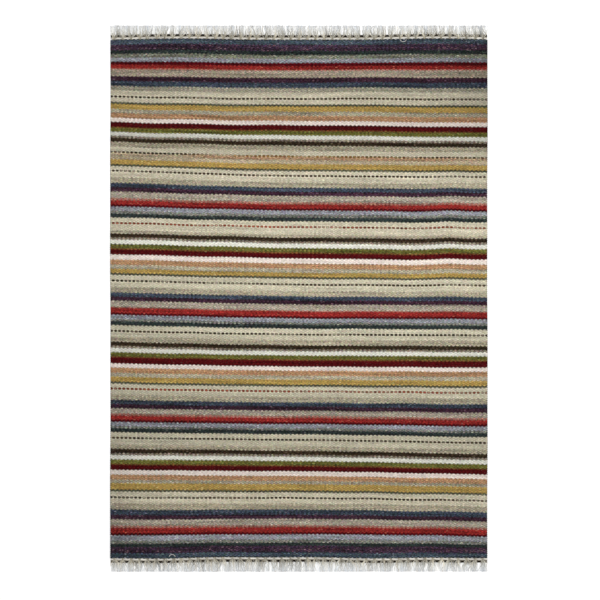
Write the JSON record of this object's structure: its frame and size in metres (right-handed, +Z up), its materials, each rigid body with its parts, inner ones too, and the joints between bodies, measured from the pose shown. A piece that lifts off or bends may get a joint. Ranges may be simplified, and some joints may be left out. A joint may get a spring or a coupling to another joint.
{
  "type": "kilim rug",
  "caption": "Flat-woven striped wool kilim rug lying flat, with an end cord and a trimmed cotton fringe along the short ends.",
  "frame": {"origin": "centre of the rug's underside, on the floor", "axes": "+X across the rug, +Y along it towards the end that is at the top of the picture, +Z up"},
  "size_m": [1.2015, 1.7408, 0.0078],
  "materials": {
    "wool_cloth": "matte",
    "cotton_warp": "matte"
  },
  "bodies": {
    "root": {"woven_field": "wool_cloth", "fringe_top": "cotton_warp", "fringe_bottom": "cotton_warp"}
  },
  "joints": []
}
